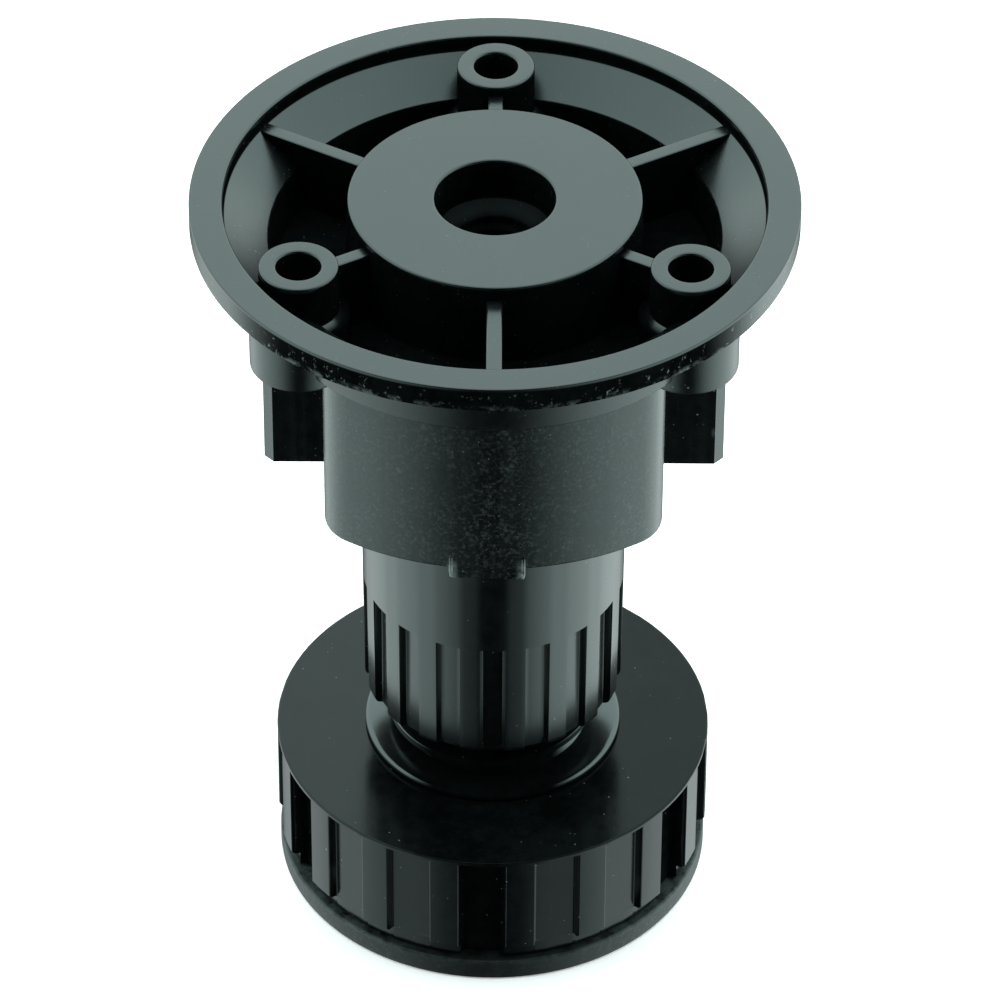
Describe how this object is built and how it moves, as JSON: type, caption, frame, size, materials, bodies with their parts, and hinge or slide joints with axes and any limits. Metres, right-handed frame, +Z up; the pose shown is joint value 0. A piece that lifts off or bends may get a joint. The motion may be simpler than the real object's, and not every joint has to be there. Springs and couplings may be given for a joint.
{
  "type": "furniture leveling foot",
  "caption": "Black plastic cabinet leveling foot: screw-on flange with a square sleeve, plug-in fluted tube, and a threaded spindle with a ribbed foot disc and a sole pad.",
  "frame": {"origin": "centre of the sole's underside, on the floor", "axes": "+Z up along the foot's axis towards the cabinet, -Y towards the tongue at the sleeve's front"},
  "size_m": [0.08, 0.08, 0.113],
  "materials": {
    "socket_plastic": "semi-gloss moulded",
    "tube_plastic": "semi-gloss moulded",
    "spindle_plastic": "semi-gloss moulded",
    "foot_plastic": "semi-gloss moulded",
    "sole_elastomer": "matt"
  },
  "bodies": {
    "socket": {"mounting_socket": "socket_plastic"},
    "leg": {"leg_tube": "tube_plastic"},
    "sole": {"sole_pad": "sole_elastomer"},
    "foot": {"threaded_spindle": "spindle_plastic", "foot_disc": "foot_plastic"}
  },
  "joints": [
    {"name": "leg_plug", "type": "slide", "parent": "socket", "child": "leg", "axis": [0, 0, -1], "range_m": [0, 0.03]},
    {"name": "height_travel", "type": "slide", "parent": "leg", "child": "sole", "axis": [0, 0, -1], "range_m": [-0.006, 0.02]},
    {"name": "foot_turn", "type": "hinge", "parent": "sole", "child": "foot", "pos_m": [0, 0, 0.02], "axis": [0, 0, -1], "range_deg": [-540, 1800]}
  ],
  "couplings": [
    {"joint": "height_travel", "follows": "foot_turn", "m_per_rad": 0.00063662}
  ]
}
